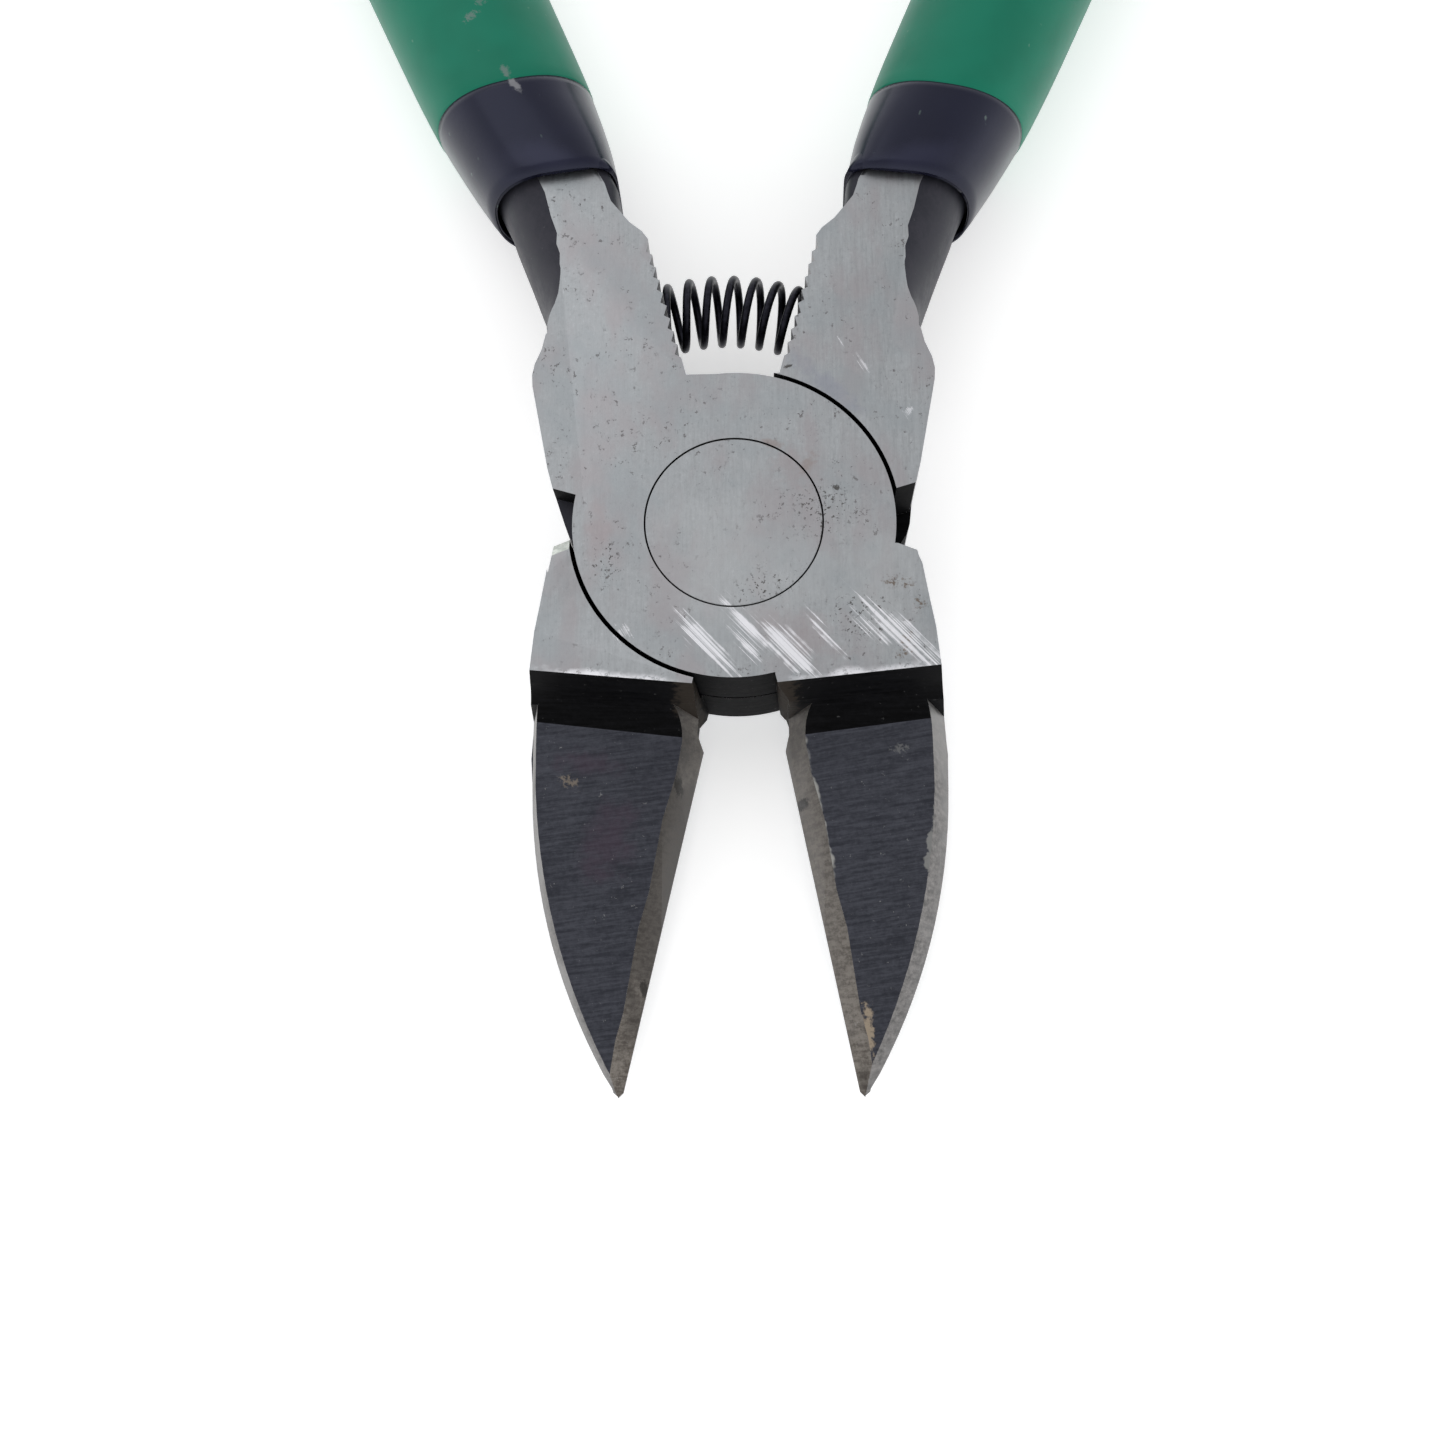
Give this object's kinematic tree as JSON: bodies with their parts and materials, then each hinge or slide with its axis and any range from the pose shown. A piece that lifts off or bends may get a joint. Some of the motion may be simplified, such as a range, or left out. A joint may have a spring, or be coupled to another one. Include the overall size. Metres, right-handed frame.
{
  "type": "flush cutter",
  "caption": "Hand-held flush cutter with a riveted lap joint, flat-backed blades, a coil return spring and double-dipped grips.",
  "frame": {"origin": "pivot axis at the flat underside of the joint, which is also the plane of both blades' flat backs", "axes": "+Z along the pivot axis, out of the top face; +Y from the pivot towards the grips; jaws point along -Y; open rest pose"},
  "size_m": [0.0854, 0.1466, 0.0111],
  "materials": {
    "ground_steel": "surface-ground tool steel, fine straight grinding marks, dark oxide left on the jaw and tang recesses",
    "spring_steel": "blackened spring wire",
    "black_vinyl": "glossy black dipped vinyl",
    "green_vinyl": "semi-gloss green dipped vinyl"
  },
  "bodies": {
    "upper_half": {"half_upper": "ground_steel", "pivot_rivet": "ground_steel", "return_spring": "spring_steel", "inner_sleeve_upper": "black_vinyl", "outer_sleeve_upper": "green_vinyl"},
    "lower_half": {"half_lower": "ground_steel", "inner_sleeve_lower": "black_vinyl", "outer_sleeve_lower": "green_vinyl"}
  },
  "joints": [
    {"name": "jaw_pivot", "type": "hinge", "parent": "upper_half", "child": "lower_half", "pos_m": [0, 0, 0.00425], "axis": [0, 0, 1], "range_deg": [0, 23.9], "stiffness_Nm_per_rad": 0.26, "springref_deg": -8.59, "deforming": ["return_spring"]}
  ]
}
